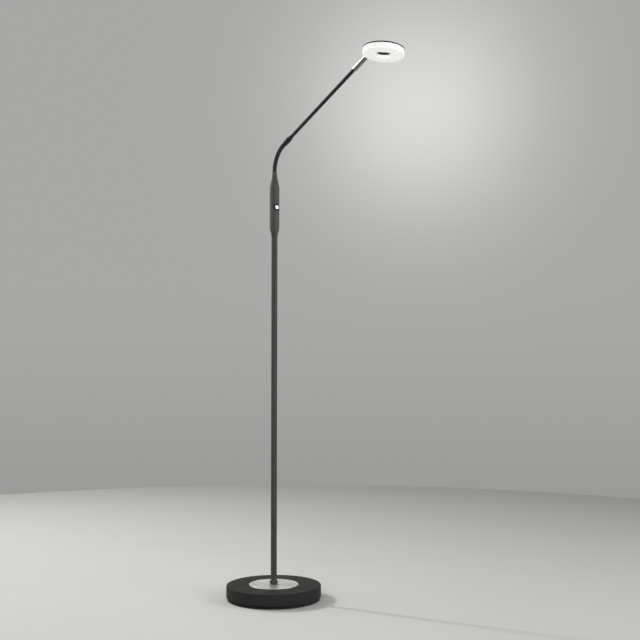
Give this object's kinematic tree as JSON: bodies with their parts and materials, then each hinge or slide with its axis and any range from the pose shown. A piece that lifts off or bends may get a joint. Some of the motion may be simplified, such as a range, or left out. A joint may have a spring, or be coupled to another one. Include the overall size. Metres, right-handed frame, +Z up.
{
  "type": "floor lamp",
  "caption": "Slim reading floor lamp: round weighted base with a bright disc, straight pole, grip with a push button, flexible gooseneck, straight arm and a flat round head with a lit face.",
  "frame": {"origin": "centre of the round foot, on the floor", "axes": "+Z up along the pole, +X the way the arm reaches at rest, the cable inlet towards -X"},
  "size_m": [0.607, 0.25, 1.3742],
  "materials": {
    "foot_rubber": "matt",
    "black_rubber": "satin",
    "zinc_steel": "zinc plated",
    "black_iron": "cast, black primer",
    "black_steel": "satin black paint",
    "base_coat": "fine textured near-black powder coat",
    "brushed_nickel": "turned and brushed, fine circular grain",
    "pole_coat": "satin anthracite powder coat",
    "grip_coat": "satin anthracite powder coat",
    "arm_coat": "satin black powder coat",
    "shell_coat": "satin black powder coat",
    "ring_black": "satin black",
    "neck_black": "black coated flexible hose",
    "brass": "turned",
    "lead_sheath": "soft sheath",
    "black_oxide": "black oxide",
    "black_plastic": "moulded",
    "circuit_board": "solder mask",
    "component_plastic": "moulded",
    "bezel_black": "gloss",
    "button_chrome": "polished",
    "bright_nickel": "polished",
    "board_white": "white solder mask on aluminium",
    "led_phosphor": "phosphor",
    "opal_acrylic": "opal, lit",
    "white_plastic": "moulded"
  },
  "bodies": {
    "lamp_stand": {"foot_pad": "foot_rubber", "bottom_plate": "black_steel", "bottom_plate_screws": "zinc_steel", "base_weight": "black_iron", "base_cover": "base_coat", "cable_inlet_grommet": "black_rubber", "trim_disc": "brushed_nickel", "pole_collar": "pole_coat", "threaded_stem": "zinc_steel", "stem_washer": "zinc_steel", "stem_nut": "zinc_steel", "pole_tube": "pole_coat", "pole_lower_insert": "brass", "supply_lead": "lead_sheath", "pole_top_ferrule": "pole_coat", "grip_lower_cap": "grip_coat", "grip_set_screw": "black_oxide", "grip_housing": "grip_coat", "grip_upper_cap": "grip_coat", "board_carrier": "black_plastic", "dimmer_board": "circuit_board", "board_components": "component_plastic", "push_switch": "black_plastic", "button_bezel": "bezel_black", "grip_lead": "lead_sheath", "neck_base_ferrule": "grip_coat", "gooseneck_root": "neck_black"},
    "button": {"dimmer_button": "button_chrome"},
    "neck_1": {"gooseneck_link_1": "neck_black"},
    "neck_2": {"gooseneck_link_2": "neck_black"},
    "neck_3": {"gooseneck_link_3": "neck_black"},
    "neck_4": {"gooseneck_link_4": "neck_black"},
    "neck_5": {"gooseneck_link_5": "neck_black"},
    "neck_6": {"gooseneck_link_6": "neck_black"},
    "neck_7": {"gooseneck_link_7": "neck_black"},
    "arm": {"gooseneck_tip": "neck_black", "neck_top_ferrule": "arm_coat", "arm_tube": "arm_coat", "arm_end_plug": "brass", "arm_lead": "lead_sheath"},
    "head": {"hinge_bracket": "bright_nickel", "bracket_screws": "zinc_steel", "head_shell": "shell_coat", "led_board": "board_white", "leds": "led_phosphor", "board_screws": "zinc_steel", "diffuser": "opal_acrylic", "centre_ring": "ring_black", "centre_disc": "white_plastic"},
    "head_hinge": {"head_sleeve": "bright_nickel", "swivel_screw": "black_oxide", "tilt_pin": "bright_nickel", "friction_washers": "black_plastic"}
  },
  "joints": [
    {"name": "neck_bend_1", "type": "hinge", "parent": "lamp_stand", "child": "neck_1", "pos_m": [0.00018, 0, 1.14262], "axis": [0, 1, 0], "range_deg": [-15.88, 8.75]},
    {"name": "neck_sway_1", "type": "hinge", "parent": "neck_1", "child": "neck_2", "pos_m": [0.00159, 0, 1.15277], "axis": [-0.9785, 0, 0.2063], "range_deg": [-11.25, 11.25]},
    {"name": "neck_bend_2", "type": "hinge", "parent": "neck_2", "child": "neck_3", "pos_m": [0.00439, 0, 1.16262], "axis": [0, 1, 0], "range_deg": [-15.88, 8.75]},
    {"name": "neck_sway_2", "type": "hinge", "parent": "neck_3", "child": "neck_4", "pos_m": [0.00853, 0, 1.17199], "axis": [-0.8847, 0, 0.4661], "range_deg": [-11.25, 11.25]},
    {"name": "neck_bend_3", "type": "hinge", "parent": "neck_4", "child": "neck_5", "pos_m": [0.01392, 0, 1.1807], "axis": [0, 1, 0], "range_deg": [-15.88, 8.75]},
    {"name": "neck_sway_3", "type": "hinge", "parent": "neck_5", "child": "neck_6", "pos_m": [0.02046, 0, 1.18858], "axis": [-0.7235, 0, 0.6903], "range_deg": [-11.25, 11.25]},
    {"name": "neck_bend_4", "type": "hinge", "parent": "neck_6", "child": "neck_7", "pos_m": [0.02803, 0, 1.19549], "axis": [0, 1, 0], "range_deg": [-15.88, 8.75]},
    {"name": "neck_sway_4", "type": "hinge", "parent": "neck_7", "child": "arm", "pos_m": [0.03648, 0, 1.20128], "axis": [-0.5071, 0, 0.8619], "range_deg": [-11.25, 11.25]},
    {"name": "head_swivel", "type": "hinge", "parent": "arm", "child": "head_hinge", "pos_m": [0.36853, 0, 1.36703], "axis": [0.8949, 0, 0.4462], "range_deg": [-165, 165]},
    {"name": "head_tilt", "type": "hinge", "parent": "head_hinge", "child": "head", "pos_m": [0.36853, 0, 1.36703], "axis": [0.0505, 0.9936, -0.1013], "range_deg": [-75, 60]},
    {"name": "button_press", "type": "slide", "parent": "lamp_stand", "child": "button", "axis": [-0.9848, 0.1736, 0], "range_m": [0, 0.001], "stiffness_N_per_m": 1500, "springref_m": -0.0005}
  ],
  "couplings": [
    {"joint": "neck_bend_2", "follows": "neck_bend_1", "ratio": 1},
    {"joint": "neck_bend_3", "follows": "neck_bend_1", "ratio": 1},
    {"joint": "neck_bend_4", "follows": "neck_bend_1", "ratio": 1},
    {"joint": "neck_sway_2", "follows": "neck_sway_1", "ratio": 1},
    {"joint": "neck_sway_3", "follows": "neck_sway_1", "ratio": 1},
    {"joint": "neck_sway_4", "follows": "neck_sway_1", "ratio": 1}
  ]
}
